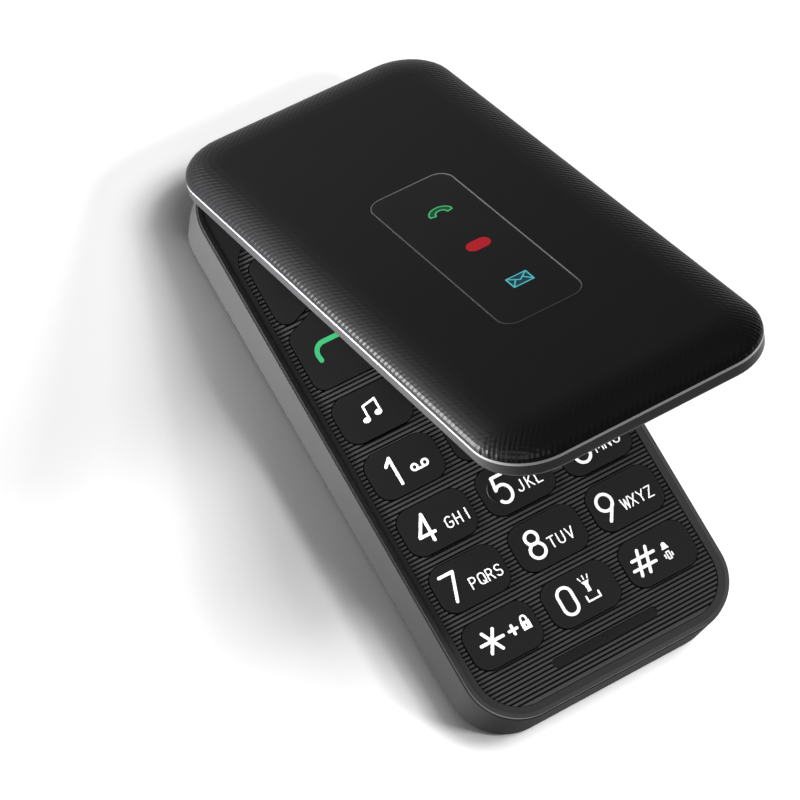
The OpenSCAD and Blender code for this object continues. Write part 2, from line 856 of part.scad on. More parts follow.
// Height of a pillowed surface as a share of its rise, where t runs from 0 at the rim to 1
function pillow(t) = pow(1 - pow(1 - t, 2.2), 1 / 2.2);

// The cover is one closed skin: levels climb the outside, then come down the inside
module pillow_shell() {
    steps = 9;
    n = 4 * (steps + 1);
    out_n = 10;
    in_n = 5;
    edge = 2.2;
    rise = lid_t - cover_z;
    // Levels crowd towards the rim, where the surface bends most
    outside = [for (i = [0:out_n]) let (t = pow(i / out_n, 1.8))
        level(shoulder * t, cover_z + rise * pillow(t), steps)];
    inside = [for (i = [in_n:-1:0]) let (t = pow(i / in_n, 1.6))
        level(edge + (shoulder + 0.4 - edge) * t, cover_z + (rise - skin) * pillow(t), steps)];
    levels = concat(outside, inside);
    points = [for (l = levels) each l];
    top_level = out_n;
    walls = [for (k = [0:len(levels) - 1], j = [0:n - 1])
        let (
            k2 = (k + 1) % len(levels),
            a = k * n + j,
            b = k * n + (j + 1) % n,
            c = k2 * n + (j + 1) % n,
            d = k2 * n + j
        )
        if (k != top_level) each [[a, c, b], [a, d, c]]
    ];
    cap = [for (j = [n - 1:-1:0]) top_level * n + j];
    ceiling = [for (j = [0:n - 1]) (top_level + 1) * n + j];
    polyhedron(points, concat(walls, [cap, ceiling]));
}

module window_outline(d = 0) {
    translate([0, window_y]) rounded(window_w + 2 * d, window_l + 2 * d, window_r + d);
}

module lid_cover() {
    lip = 0.6;
    color(black) on_lid() difference() {
        union() {
            pillow_shell();
            difference() {
                lid_block(lid_wall + 0.1, rim_z - 0.6, cover_z + 0.2);
                lid_block(lid_wall + 0.1 + lip, 0, lid_t);
            }
            screw_places(lid_screw_ys, lid_screw_x) cylinder_between(cover_z, lid_t - skin + 0.1, 2.1);
        }
        translate([0, 0, lid_t - window_t]) linear_extrude(2) window_outline(0.08);
        for (y = led_ys) translate([0, y, 0]) cylinder(r = 1.8, h = 2 * lid_t);
        screw_places(lid_screw_ys, lid_screw_x) cylinder_between(0, lid_t - skin - 0.2, 0.7);
    }
}

module indicator_window() {
    color(clear) on_lid() translate([0, 0, lid_t - window_t]) linear_extrude(window_t) window_outline();
}

module indicator_leds() {
    color("white") on_lid() for (y = led_ys)
        translate([0, y, lid_board_z + lid_board_t]) cylinder(r = 1.5, h = lid_t - window_t - 0.1 - lid_board_z - lid_board_t);
}

module display_lens() {
    color(clear) on_lid() difference() {
        linear_extrude(lens_t) lens_outline();
        translate([0, 0, -1]) ear_slot(12, 3);
    }
}

module display_panel() {
    color("#202830") on_lid() translate([0, (screen_y0 + screen_y1) / 2, lid_floor])
        linear_extrude(panel_t) rounded(screen_w + 3, screen_y1 - screen_y0 + 5, 1);
}

module lid_board() {
    color(copper) on_lid() translate([0, 0, lid_board_z]) linear_extrude(lid_board_t)
        rounded_span(
            body_w - 2 * lid_board_in[0], front_y + lid_board_in[1], rear_y - lid_board_in[2], 2, 2);
}

module earpiece() {
    color(steel) on_lid() translate([0, slot_ear_y - 2.6, lid_floor]) linear_extrude(2.4) rounded(ear_w, ear_l, 1.5);
}

module earpiece_mesh() {
    color(steel) on_lid() translate([0, 0, 0.15]) linear_extrude(lid_floor - 0.2) translate([0, slot_ear_y])
        rounded(11.8, 1.4, 0.69);
}

module lid_screws() {
    color(steel) on_lid() screw_places(lid_screw_ys, lid_screw_x) {
        cylinder_between(0.6, 1, 1.4);
        cylinder_between(0.8, lid_t - skin - 0.6, 0.7);
    }
}

module screw_caps() {
    color(charcoal) on_lid() screw_places(lid_screw_ys, lid_screw_x) cylinder_between(0, 0.5, 1.5);
}

module lid_bumpers() {
    color(charcoal) on_lid() for (s = [-1, 1])
        translate([s * bumper_x, bumper_y, 0]) cylinder_between(-0.25, 0.45, 1.4);
}

// ---------- Nodes ----------

rear_housing();
front_housing();
trim_ring();
keypad_plate();
battery_cover();
battery();
main_board();
dome_sheet();
shield_can();
sim_holder();
loudspeaker();
vibration_motor();
microphone();
usb_socket();
headphone_socket();
camera_module();
camera_window();
torch_lens();
housing_screws();
hinge_shaft();
hinge_pin();
lid_inner_housing();
lid_cover();
lid_trim_ring();
indicator_window();
indicator_leds();
display_lens();
display_panel();
lid_board();
earpiece();
earpiece_mesh();
lid_screws();
screw_caps();
lid_bumpers();
hinge_can();
hinge_follower();
hinge_spring();
number_key(-1, 0);  // key_star
number_key(0, 0);  // key_0
number_key(1, 0);  // key_hash
number_key(-1, 1);  // key_7
number_key(0, 1);  // key_8
number_key(1, 1);  // key_9
number_key(-1, 2);  // key_4
key_5();
number_key(1, 2);  // key_6
number_key(-1, 3);  // key_1
number_key(0, 3);  // key_2
number_key(1, 3);  // key_3
number_key(-1, 4);  // key_music
number_key(0, 4);  // key_clear
number_key(1, 4);  // key_message
corner_key(0, 0);  // call_key
corner_key(0, 1);  // end_key
corner_key(1, 0);  // soft_key_left
corner_key(1, 1);  // soft_key_right
nav_ring();
nav_plungers();
ok_key();
volume_key();
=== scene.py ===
"""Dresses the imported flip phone: the finish of every piece, its printed legends and lit symbols, the stage
and the camera. Everything is in metres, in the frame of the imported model."""

import json
from math import atan2, ceil, cos, hypot, pi, radians, sin

import bpy
from mathutils import Matrix, Vector


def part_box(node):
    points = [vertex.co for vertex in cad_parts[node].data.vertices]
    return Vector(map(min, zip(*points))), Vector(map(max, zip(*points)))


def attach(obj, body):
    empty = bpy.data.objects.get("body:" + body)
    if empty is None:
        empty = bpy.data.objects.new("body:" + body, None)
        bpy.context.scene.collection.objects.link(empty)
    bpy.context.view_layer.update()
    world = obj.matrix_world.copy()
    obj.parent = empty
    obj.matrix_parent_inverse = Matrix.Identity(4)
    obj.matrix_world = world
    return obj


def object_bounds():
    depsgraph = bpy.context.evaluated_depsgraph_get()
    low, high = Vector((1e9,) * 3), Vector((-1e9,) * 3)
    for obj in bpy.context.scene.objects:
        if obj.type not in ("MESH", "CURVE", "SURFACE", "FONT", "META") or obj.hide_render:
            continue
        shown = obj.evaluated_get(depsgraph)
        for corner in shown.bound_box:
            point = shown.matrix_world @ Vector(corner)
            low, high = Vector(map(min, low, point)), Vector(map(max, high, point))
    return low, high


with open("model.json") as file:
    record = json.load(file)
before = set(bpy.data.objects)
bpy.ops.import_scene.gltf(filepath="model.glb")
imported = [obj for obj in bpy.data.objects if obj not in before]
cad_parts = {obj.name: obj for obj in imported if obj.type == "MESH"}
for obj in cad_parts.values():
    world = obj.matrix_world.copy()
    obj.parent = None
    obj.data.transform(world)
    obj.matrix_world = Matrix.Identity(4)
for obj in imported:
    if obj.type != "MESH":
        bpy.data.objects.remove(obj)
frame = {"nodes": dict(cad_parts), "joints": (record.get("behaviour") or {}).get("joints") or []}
cad_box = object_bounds()

bl_info = {
    "name": "Flip Phone Finish",
    "version": (1, 0, 0),
    "blender": (4, 5, 0),
    "location": "3D View > Sidebar > Flip Phone",
    "description": "Finishes, legends, lit symbols and studio for a packed flip phone",
    "category": "Object",
}

MM = 0.001

# ---------- The lid's own frame ----------

HINGE = next(j for j in frame["joints"] if j["name"] == "lid_hinge")
OPEN_ANGLE = -HINGE["range_deg"][0]
AXIS = Vector(HINGE["pos_m"])
# Turns a place on the closed lid to where the open lid has it
LID = Matrix.Translation(AXIS) @ Matrix.Rotation(-radians(OPEN_ANGLE), 4, "X") @ Matrix.Translation(-AXIS)


def closed_box(node):
    """Lowest and highest corner of a lid node with the lid closed."""
    back = LID.inverted()
    corners = [back @ v.co for v in frame["nodes"][node].data.vertices]
    return (Vector(min(c[i] for c in corners) for i in range(3)),
            Vector(max(c[i] for c in corners) for i in range(3)))


# ---------- Colours and sizes ----------

def linear(code):
    """An sRGB hex colour as linear red, green and blue."""
    channels = [int(code[i:i + 2], 16) / 255 for i in (1, 3, 5)]
    return tuple(c / 12.92 if c <= 0.04045 else ((c + 0.055) / 1.055) ** 2.4 for c in channels)


def colour(name, code, description):
    return bpy.props.FloatVectorProperty(
        name=name, description=description, subtype="COLOR", size=3, min=0, max=1, default=linear(code))


def length(name, mm, description):
    return bpy.props.FloatProperty(
        name=name, description=description, unit="LENGTH", precision=5, min=0, default=mm * MM)


class PhoneColours(bpy.types.PropertyGroup):
    """Colours of the visible finishes and prints"""
    cover: colour("Lid cover", "#0a0a0b", "Soft-touch coat of the lid's cover")
    shell: colour("Black shells", "#151516", "Moulded black ABS of the inner lid and the bezel")
    wall: colour("Rear housing", "#242424", "Painted metallic coat of the rear housing")
    lid_trim: colour("Lid trim ring", "#a4a4a6", "Vacuum-metallised trim round the lid")
    base_trim: colour("Base trim ring", "#545456", "Vacuum-metallised trim round the base")
    plate: colour("Keypad plate", "#353536", "Ribbed plate between the keys")
    key: colour("Keys", "#121213", "Coated polycarbonate of the keys")
    legend: colour("Legends", "#ececec", "White legend print")
    call: colour("Call green", "#45cf83", "Green of the call symbols")
    end: colour("End red", "#d8323a", "Red of the end-call symbol")
    alert: colour("Battery red", "#c8041f", "Red of the lit battery symbol")
    message: colour("Message blue", "#55c6cf", "Blue of the lit message symbol")
    floor: colour("Floor", "#fbfbfb", "Studio floor")


class PhoneSizes(bpy.types.PropertyGroup):
    """Sizes of the prints and of the lid's texture"""
    digit_height: length("Digit height", 5.3, "Height of a digit, between the middles of its strokes")
    digit_stroke: length("Digit stroke", 0.61, "Width of a digit's stroke")
    letter_height: length("Letter height", 2.1, "Height of a small letter")
    letter_stroke: length("Letter stroke", 0.25, "Width of a small letter's stroke")
    print_height: length("Print height", 0.03, "How far print stands above its surface")
    texture_pitch: length("Texture pitch", 0.85, "Distance between the fine strokes of the lid's texture")
    # The line round the indicator window is a painted highlight; this is its width
    window_highlight_line: length("Window line", 0.25, "Width of the printed line round the indicator window")


def colours():
    return bpy.context.scene.phone_colours


def sizes():
    return bpy.context.scene.phone_sizes


# ---------- Materials ----------

def new_material(name, **inputs):
    """A material of one Principled shader, with constants set on its own sockets."""
    material = bpy.data.materials.new(name)
    material.use_nodes = True
    shader = material.node_tree.nodes["Principled BSDF"]
    for key, value in inputs.items():
        socket = shader.inputs[key.replace("_", " ")]
        socket.default_value = (*value, 1) if key.endswith(("Color", "Tint")) else value
    return material, shader


def add_node(material, kind, links=(), values=(), **settings):
    """Adds a node with its settings. links are (input, socket) pairs, and values are (input, number) pairs."""
    node = material.node_tree.nodes.new("ShaderNode" + kind)
    for key, value in settings.items():
        setattr(node, key, value)
    for key, value in values:
        node.inputs[key].default_value = value
    for key, socket in links:
        material.node_tree.links.new(node.inputs[key], socket)
    return node


def wire(material, shader, key, socket):
    material.node_tree.links.new(shader.inputs[key], socket)


def speckle(material, size, low, high):
    """A soft noise of patches of about the given size, kept between two values."""
    place = add_node(material, "TexCoord").outputs["Object"]
    noise = add_node(material, "TexNoise", [("Vector", place)], [("Scale", 1 / size), ("Detail", 4)])
    return add_node(material, "MapRange", [("Value", noise.outputs["Fac"])], [("To Min", low), ("To Max", high)])


def bump(material, shader, height, distance, strength=1):
    node = add_node(material, "Bump", [("Height", height)], [("Distance", distance), ("Strength", strength)])
    wire(material, shader, "Normal", node.outputs["Normal"])


def tinted(material, shader, colour_value, low, high, size):
    """Lets the colour wander a little between two brightnesses, in patches of the given size."""
    wander = speckle(material, size, low, high)
    mix = add_node(material, "VectorMath", [("Scale", wander.outputs["Result"])], [(0, colour_value)],
                   operation="SCALE")
    wire(material, shader, "Base Color", mix.outputs["Vector"])


def moulded(name, tint, roughness, grain_mm, depth_mm, specular=0.5):
    """Moulded plastic: a fine spark-eroded grain breaks its gloss, and the colour is even to the eye."""
    material, shader = new_material(name, Roughness=roughness, IOR=1.5, Specular_IOR_Level=specular)
    tinted(material, shader, tint, 0.9, 1.1, 14 * MM)
    grain = speckle(material, grain_mm * MM, 0, 1)
    bump(material, shader, grain.outputs["Result"], depth_mm * MM, 0.6)
    gloss = speckle(material, 9 * MM, roughness * 0.88, min(1, roughness * 1.12))
    wire(material, shader, "Roughness", gloss.outputs["Result"])
    return material


def metal(name, tint, roughness, grain_mm):
    """Plated or stamped metal: mirror-like, with a faint grain that softens what it reflects."""
    material, shader = new_material(name, Metallic=1.0, Roughness=roughness)
    tinted(material, shader, tint, 0.93, 1.05, 6 * MM)
    gloss = speckle(material, grain_mm * MM, roughness * 0.75, roughness * 1.3)
    wire(material, shader, "Roughness", gloss.outputs["Result"])
    return material


def dress(nodes, material):
    """Gives CAD nodes one material."""
    for name in nodes:
        piece = frame["nodes"][name]
        piece.data.materials.clear()
        piece.data.materials.append(material)


def diagonal_strokes(material, pitch):
    """Two families of fine strokes, square to each other and at 45 degrees to the lid's sides."""
    place = add_node(material, "TexCoord").outputs["Object"]
    # Turned flat with the lid's plane, then by 45 degrees in it
    flat = add_node(material, "Mapping", [("Vector", place)],
                    [("Rotation", (radians(OPEN_ANGLE), 0, radians(45)))]).outputs["Vector"]
    # A wave texture repeats every 0.314 units at a scale of one
    return [add_node(material, "TexWave", [("Vector", flat)], [("Scale", 0.314 / pitch)],
                     bands_direction=axis).outputs["Fac"] for axis in ("X", "Y")]


# ---------- Stroke lettering ----------

def arc(cx, cy, rx, ry, start, stop):
    """Points of an elliptical arc between two angles in degrees."""
    n = max(3, ceil(abs(stop - start) / 12))
    steps = [radians(start + (stop - start) * i / n) for i in range(n + 1)]
    return [(cx + rx * cos(a), cy + ry * sin(a)) for a in steps]


def ring(cx, cy, rx, ry):
    return arc(cx, cy, rx, ry, 0, 360)


# Each glyph is a list of strokes, on a cell one high with its baseline at zero
GLYPHS = {
    "0": [arc(.27, .73, .27, .27, 0, 180) + arc(.27, .27, .27, .27, 180, 360) + [(.54, .73)]],
    "1": [[(0, .76), (.24, 1), (.24, 0)]],
    "2": [arc(.27, .73, .27, .27, 160, -35) + [(.02, 0), (.56, 0)]],
    "3": [arc(.26, .76, .24, .24, 150, -90), arc(.26, .26, .28, .27, 90, -150)],
    "4": [[(.44, 0), (.44, 1), (0, .27), (.6, .27)]],
    "5": [[(.5, 1), (.1, 1), (.04, .54)] + arc(.26, .33, .29, .33, 120, -140)],
    "6": [[(.4, 1), (.05, .46)] + arc(.29, .31, .29, .31, 150, 510)],
    "7": [[(0, 1), (.54, 1), (.18, 0)]],
    "8": [ring(.28, .765, .235, .235), ring(.28, .275, .28, .275)],
    "9": [[(.18, 0), (.53, .54)] + arc(.29, .69, .29, .31, -30, 330)],
    "A": [[(0, 0), (.3, 1), (.6, 0)], [(.1, .33), (.5, .33)]],
    "B": [[(0, 0), (0, 1), (.26, 1)] + arc(.26, .77, .23, .23, 90, -90) + [(0, .54)],
          [(.26, .54)] + arc(.27, .27, .27, .27, 90, -90) + [(0, 0)]],
    "C": [arc(.3, .7, .3, .3, 40, 180) + arc(.3, .3, .3, .3, 180, 320)],
    "D": [[(0, 0), (0, 1), (.2, 1)] + arc(.2, .66, .34, .34, 90, 0) + arc(.2, .34, .34, .34, 0, -90) + [(0, 0)]],
    "E": [[(.5, 1), (0, 1), (0, 0), (.5, 0)], [(0, .52), (.42, .52)]],
    "F": [[(.5, 1), (0, 1), (0, 0)], [(0, .5), (.42, .5)]],
    "G": [arc(.3, .7, .3, .3, 40, 180) + arc(.3, .3, .3, .3, 180, 360) + [(.6, .46), (.34, .46)]],
    "H": [[(0, 0), (0, 1)], [(.54, 0), (.54, 1)], [(0, .5), (.54, .5)]],
    "I": [[(.27, 0), (.27, 1)]],
    "J": [[(.46, 1)] + arc(.22, .26, .24, .26, 0, -170)],
    "K": [[(0, 0), (0, 1)], [(.52, 1), (0, .42)], [(.16, .6), (.56, 0)]],
    "L": [[(0, 1), (0, 0), (.48, 0)]],
    "M": [[(0, 0), (0, 1), (.34, .3), (.68, 1), (.68, 0)]],
    "N": [[(0, 0), (0, 1), (.56, 0), (.56, 1)]],
    "O": [arc(.3, .7, .3, .3, 0, 180) + arc(.3, .3, .3, .3, 180, 360) + [(.6, .7)]],
    "P": [[(0, 0), (0, 1), (.25, 1)] + arc(.25, .74, .26, .26, 90, -90) + [(0, .48)]],
    "Q": [arc(.3, .7, .3, .3, 0, 180) + arc(.3, .3, .3, .3, 180, 360) + [(.6, .7)], [(.34, .26), (.6, 0)]],
    "R": [[(0, 0), (0, 1), (.25, 1)] + arc(.25, .75, .25, .25, 90, -90) + [(0, .5)], [(.28, .5), (.56, 0)]],
    "S": [arc(.28, .75, .25, .25, 30, 270) + arc(.28, .25, .27, .25, 90, -150)],
    "T": [[(0, 1), (.6, 1)], [(.3, 1), (.3, 0)]],
    "U": [[(0, 1)] + arc(.28, .28, .28, .28, 180, 360) + [(.56, 1)]],
    "V": [[(0, 1), (.3, 0), (.6, 1)]],
    "W": [[(0, 1), (.18, 0), (.36, .9), (.54, 0), (.72, 1)]],
    "X": [[(0, 1), (.56, 0)], [(0, 0), (.56, 1)]],
    "Y": [[(0, 1), (.29, .48), (.58, 1)], [(.29, .48), (.29, 0)]],
    "Z": [[(0, 1), (.54, 1), (0, 0), (.56, 0)]],
    "*": [[(.5 + .44 * cos(radians(a)), .5 + .44 * sin(radians(a))),
           (.5 - .44 * cos(radians(a)), .5 - .44 * sin(radians(a)))] for a in (0, 60, 120)],
    "#": [[(.42, .94), (.15, .06)], [(.76, .94), (.49, .06)], [(.06, .66), (.95, .66)], [(-.04, .32), (.86, .32)]],
}

SHARP = radians(35)


def runs(points):
    """Cuts a stroke at its sharp corners, so that each run can end in a round cap."""
    found, run = [], [points[0]]
    for i, p in enumerate(points[1:], 1):
        if hypot(p[0] - run[-1][0], p[1] - run[-1][1]) < 1e-9:
            continue
        run.append(p)
        if i + 1 < len(points):
            q = points[i + 1]
            turn = atan2(q[1] - p[1], q[0] - p[0]) - atan2(p[1] - run[-2][1], p[0] - run[-2][0])
            if abs((turn + pi) % (2 * pi) - pi) > SHARP:
                found.append(run)
                run = [p]
    return found + [run]


def ribbon(mesh, points, width, top, bottom):
    """Adds a flat closed bar of the given width along the points, with round ends, to lists of vertices and faces."""
    vertices, faces = mesh
    half = width / 2
    stations = []
    for i, p in enumerate(points):
        a, b = points[max(0, i - 1)], points[min(len(points) - 1, i + 1)]
        run = hypot(b[0] - a[0], b[1] - a[1])
        stations.append((p, ((b[0] - a[0]) / run, (b[1] - a[1]) / run), half))
    closed = hypot(points[0][0] - points[-1][0], points[0][1] - points[-1][1]) < 1e-9
    if not closed:
        caps = [(cos(radians(a)), sin(radians(a))) for a in (4, 20, 40, 60, 80)]
        (p0, d0, _), (p1, d1, _) = stations[0], stations[-1]
        head = [((p0[0] - d0[0] * half * c, p0[1] - d0[1] * half * c), d0, half * s) for c, s in caps]
        tail = [((p1[0] + d1[0] * half * c, p1[1] + d1[1] * half * c), d1, half * s) for c, s in reversed(caps)]
        stations = head + stations + tail
    else:
        stations[0] = stations[-1] = (points[0], stations[0][1], half)
        stations = stations[:-1]
    first = len(vertices)
    for (x, y), (dx, dy), h in stations:
        vertices += [(x - dy * h, y + dx * h, top), (x + dy * h, y - dx * h, top),
                     (x + dy * h, y - dx * h, bottom), (x - dy * h, y + dx * h, bottom)]
    n = len(stations)
    for i in range(n if closed else n - 1):
        a, b = first + 4 * i, first + 4 * ((i + 1) % n)
        faces += [(a + k, a + (k + 1) % 4, b + (k + 1) % 4, b + k) for k in range(4)]
    if not closed:
        faces += [(first + 3, first + 2, first + 1, first), tuple(first + 4 * (n - 1) + k for k in range(4))]


def area(mesh, outline, top, bottom):
    """Adds a flat closed plate with the given outline."""
    vertices, faces = mesh
    n, first = len(outline), len(vertices)
    vertices += [(x, y, top) for x, y in outline] + [(x, y, bottom) for x, y in outline]
    faces += [tuple(range(first, first + n)), tuple(range(first + 2 * n - 1, first + n - 1, -1))]
    faces += [(first + i, first + n + i, first + n + (i + 1) % n, first + (i + 1) % n) for i in range(n)]


LIFT = 0.002 * MM  # each run lies this much above the one before, so that no two faces coincide


class Print:
    """Print on one surface: strokes and plates that are collected, then made as one piece."""

    def __init__(self, surface, height=None):
        self.mesh = ([], [])
        self.surface = surface
        self.top = surface + (height or sizes().print_height)

    def stroke(self, points, width):
        for run in runs(points):
            ribbon(self.mesh, run, width, self.top, self.surface - sizes().print_height)
            self.top += LIFT

    def plate(self, outline):
        area(self.mesh, outline, self.top, self.surface - sizes().print_height)
        self.top += LIFT

    def glyph(self, name, x, y, height, width):
        for points in GLYPHS[name]:
            self.stroke([(x + px * height, y + py * height) for px, py in points], width)

    def word(self, text, x, y, height, width, advance):
        for i, name in enumerate(text):
            self.glyph(name, x + i * advance, y, height, width)

    def make(self, name, body, material, turn=None):
        """Makes the piece, and turns it with the open lid where it is printed on the lid."""
        data = bpy.data.meshes.new(name)
        vertices, faces = self.mesh
        data.from_pydata(vertices, [], faces)
        data.validate()
        if turn:
            data.transform(turn)
        data.materials.append(material)
        piece = bpy.data.objects.new(name, data)
        bpy.context.scene.collection.objects.link(piece)
        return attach(piece, body)


# ---------- Keypad legends ----------

# Character, its left edge from the key's middle, the small letters and their left edge, in millimetres
LEGENDS = {
    "key_1": ("1", -3.3, "", 0),
    "key_2": ("2", -4.4, "ABC", 0.2),
    "key_3": ("3", -4.4, "DEF", 0.2),
    "key_4": ("4", -4.4, "GHI", 1.35),
    "key_5": ("5", -4.4, "JKL", -0.1),
    "key_6": ("6", -4.4, "MNO", -0.1),
    "key_7": ("7", -5.2, "PQRS", -0.4),
    "key_8": ("8", -4.4, "TUV", -0.35),
    "key_9": ("9", -5.6, "WXYZ", -1.2),
    "key_star": ("*", -4.95, "", 0),
    "key_0": ("0", -4.35, "", 0),
    "key_hash": ("#", -5.6, "", 0),
}
PLAIN_KEY = "key_8"
# Where the call symbols stand, away from the middle of the whole phone, in millimetres
HANDSET_X, HANDSET_Y = 16.2, 18.7
LETTER_DROP = 2.0
LETTER_ADVANCE = {3: 1.95, 4: 1.78}


def key_place(node):
    """The middle of a key, and the height of its top."""
    low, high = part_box(node)
    return (low.x + high.x) / 2, (low.y + high.y) / 2, high.z


def legend(node):
    """The white print of one number key."""
    x, y, _ = key_place(node)
    # The 5 key has a finger locator that stands higher, so all prints take their level from a plain key
    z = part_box(PLAIN_KEY)[1].z
    mark, mark_x, letters, letters_x = LEGENDS[node]
    size = sizes()
    ink = Print(z)
    ink.glyph(mark, x + mark_x * MM, y - size.digit_height / 2, size.digit_height, size.digit_stroke)
    if letters:
        ink.word(letters, x + letters_x * MM, y - LETTER_DROP * MM, size.letter_height, size.letter_stroke,
                 LETTER_ADVANCE[len(letters)] * MM)
    return ink, x, y


def shifted(points, x, y, scale=MM):
    return [(x + px * scale, y + py * scale) for px, py in points]


def voicemail(ink, x, y):
    """Two tape reels on a line."""
    width = 0.42 * MM
    for side in (-1.1, 1.1):
        ink.stroke(shifted(ring(2.6 + side, -0.95, 0.58, 0.58), x, y), width)
    ink.stroke(shifted([(1.5, -1.53), (3.7, -1.53)], x, y), width)


def plus_lock(ink, x, y):
    """A plus sign and a padlock."""
    width = 0.55 * MM
    ink.stroke(shifted([(1.35, 0.05), (3.05, 0.05)], x, y), width)
    ink.stroke(shifted([(2.2, -0.8), (2.2, 0.9)], x, y), width)
    # The body is four plates round its keyhole
    for left, low, right, high in ((4, -1.1, 4.75, 0.55), (5.05, -1.1, 5.8, 0.55), (4.7, 0, 5.1, 0.55),
                                   (4.7, -1.1, 5.1, -0.55)):
        ink.plate(shifted([(left, low), (right, low), (right, high), (left, high)], x, y))
    ink.stroke(shifted([(4.35, 0.5), *arc(4.9, 1, 0.55, 0.6, 180, 0), (5.45, 0.5)], x, y), 0.36 * MM)


def torch_space(ink, x, y):
    """A torch that shines upwards, over a space bar."""
    ink.plate(shifted([(1.05, 1.85), (2.65, 1.85), (2.2, 1.05), (2.2, -0.25), (1.5, -0.25), (1.5, 1.05)], x, y))
    for start, stop in (((1.1, 2.15), (0.85, 2.8)), ((1.85, 2.2), (1.85, 2.95)), ((2.6, 2.15), (2.85, 2.8))):
        ink.stroke(shifted([start, stop], x, y), 0.22 * MM)
    ink.stroke(shifted([(0.6, -0.85), (0.6, -1.9), (3.2, -1.9), (3.2, -0.85)], x, y), 0.34 * MM)


def silent_mode(ink, x, y):
    """A bell over a phone that shakes: the key's second use is to mute the ring."""
    width = 0.26 * MM
    ink.plate(shifted([(1, 0.15), *arc(1.75, 0.75, 0.5, 0.75, 180, 0), (2.5, 0.15)], x, y))
    ink.stroke(shifted([(1.45, -1.9), (2.05, -1.9), (2.05, -0.45), (1.45, -0.45), (1.45, -1.9)], x, y), width)
    for side in (1.0, 2.5):
        ink.stroke(shifted([(side, -1.5), (side, -0.85)], x, y), width)


def music_note(ink, x, y):
    """A pair of quavers."""
    ink.stroke(shifted([(-1.35, -1.1), (-1.35, 1.5), (1.35, 2), (1.35, -0.6)], x, y), 0.42 * MM)
    for cx, cy in ((-1.85, -1.15), (0.85, -0.65)):
        ink.plate(shifted(arc(cx, cy, 0.75, 0.55, 0, 340), x, y))


def envelope(ink, x, y, w, h, width):
    """A closed envelope, drawn as its outline and flap."""
    ink.stroke(shifted([(-w, -h), (w, -h), (w, h), (-w, h), (-w, -h)], x, y), width)
    ink.stroke(shifted([(-w, h), (0, -0.15 * h), (w, h)], x, y), width)


def handset_arch(ink, x, y, half_width, width):
    """A receiver drawn as one bent line, as on a call key."""
    r = 2.1
    left = arc(-half_width + r, 1.4 - r, r, r, 195, 90)
    right = arc(half_width - r, 1.4 - r, r, r, 90, -15)
    ink.stroke(shifted([(-half_width + 0.1, -1.7), *left, *right, (half_width - 0.1, -1.7)], x, y), width)


# ---------- Operators ----------

class PHONE_OT_lid_shells(bpy.types.Operator):
    """Finish the lid's cover, inner housing and trim ring"""
    bl_idname = "phone.lid_shells"
    bl_label = "Lid Shells"
    bl_options = {"REGISTER", "UNDO"}

    def execute(self, context):
        dress(["lid_cover"], soft_touch_weave())
        dress(["lid_inner_housing"], moulded("abs_moulded_black_lid", colours().shell, 0.42, 0.35, 0.006, 0.3))
        dress(["lid_trim_ring"], metal("metallised_satin_lid_trim", colours().lid_trim, 0.42, 0.5))
        dress(["screw_caps", "lid_bumpers", "nav_plungers"],
              moulded("silicone_rubber_black", linear("#1c1c1c"), 0.75, 0.3, 0.01))
        return {"FINISHED"}


def soft_touch_weave():
    """Soft-touch lacquer over moulded ABS: dull and even on the flat, with fine strokes that catch light."""
    material, shader = new_material("soft_touch_lacquer_cover", Roughness=0.42, IOR=1.5, Specular_IOR_Level=0.07)
    tinted(material, shader, colours().cover, 0.88, 1.12, 22 * MM)
    # One family of strokes shows on the ends, the other on the side shoulders, and neither on the flat
    normal = add_node(material, "TexCoord").outputs["Normal"]
    parts = []
    for strokes, axis in zip(diagonal_strokes(material, sizes().texture_pitch), ((0, 1, 0), (1, 0, 0))):
        lean = add_node(material, "VectorMath", [(0, normal)], [(1, LID.to_3x3() @ Vector(axis))],
                        operation="DOT_PRODUCT").outputs["Value"]
        steep = add_node(material, "Math", [(0, lean)], operation="ABSOLUTE").outputs["Value"]
        share = add_node(material, "MapRange", [("Value", steep)], [("From Min", 0.04), ("From Max", 0.3)])
        part = add_node(material, "Math", [(0, strokes), (1, share.outputs["Result"])], operation="MULTIPLY")
        parts.append(part.outputs["Value"])
    height = add_node(material, "Math", [(0, parts[0]), (1, parts[1])], operation="ADD").outputs["Value"]
    bump(material, shader, height, 0.06 * MM, 0.8)
    gloss = speckle(material, 12 * MM, 0.37, 0.45)
    wire(material, shader, "Roughness", gloss.outputs["Result"])
    return material


